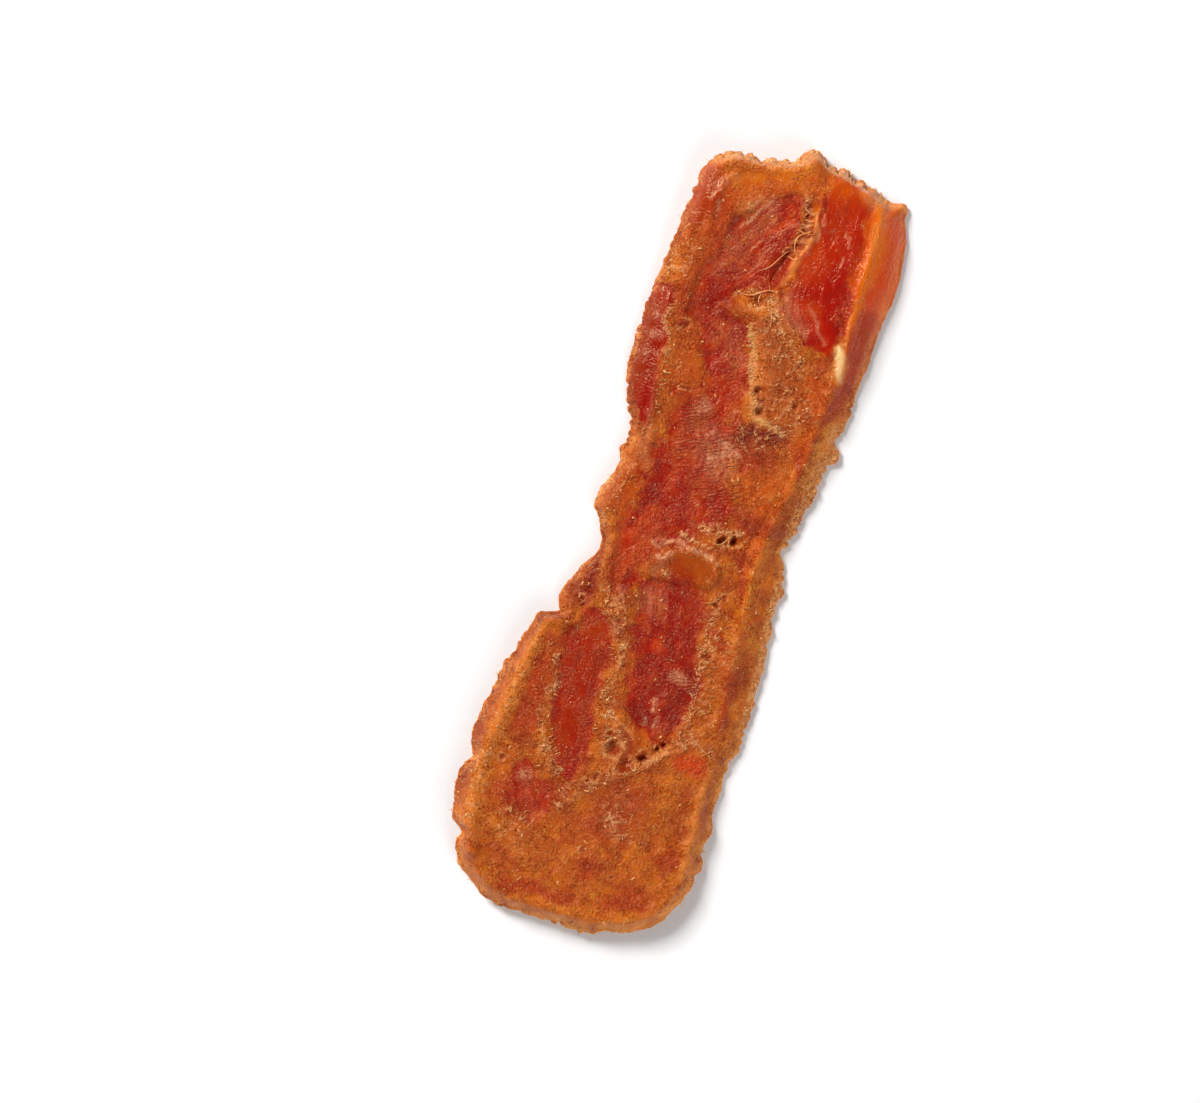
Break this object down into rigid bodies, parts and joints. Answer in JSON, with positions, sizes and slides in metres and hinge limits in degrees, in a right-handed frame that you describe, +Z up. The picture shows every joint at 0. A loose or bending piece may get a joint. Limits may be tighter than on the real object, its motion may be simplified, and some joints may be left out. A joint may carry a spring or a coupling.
{
  "type": "chicken jerky strip",
  "caption": "Flat dried strip of chicken breast with a ragged outline, a rounded foot and a thicker cut head, lying on its rack side.",
  "frame": {"origin": "under the middle of the strip's bounding box, on the surface that it lies on", "axes": "+Y along the strip towards its broad cut head, +X across it to the right as seen from above, +Z up through its thickness, the shown side up"},
  "size_m": [0.0534, 0.146, 0.0073],
  "materials": {
    "dried_meat": "tan-gold mottled dried crust, semi-matte, with glossy dark red bare muscle"
  },
  "bodies": {
    "root": {"jerky_strip": "dried_meat"}
  },
  "joints": []
}
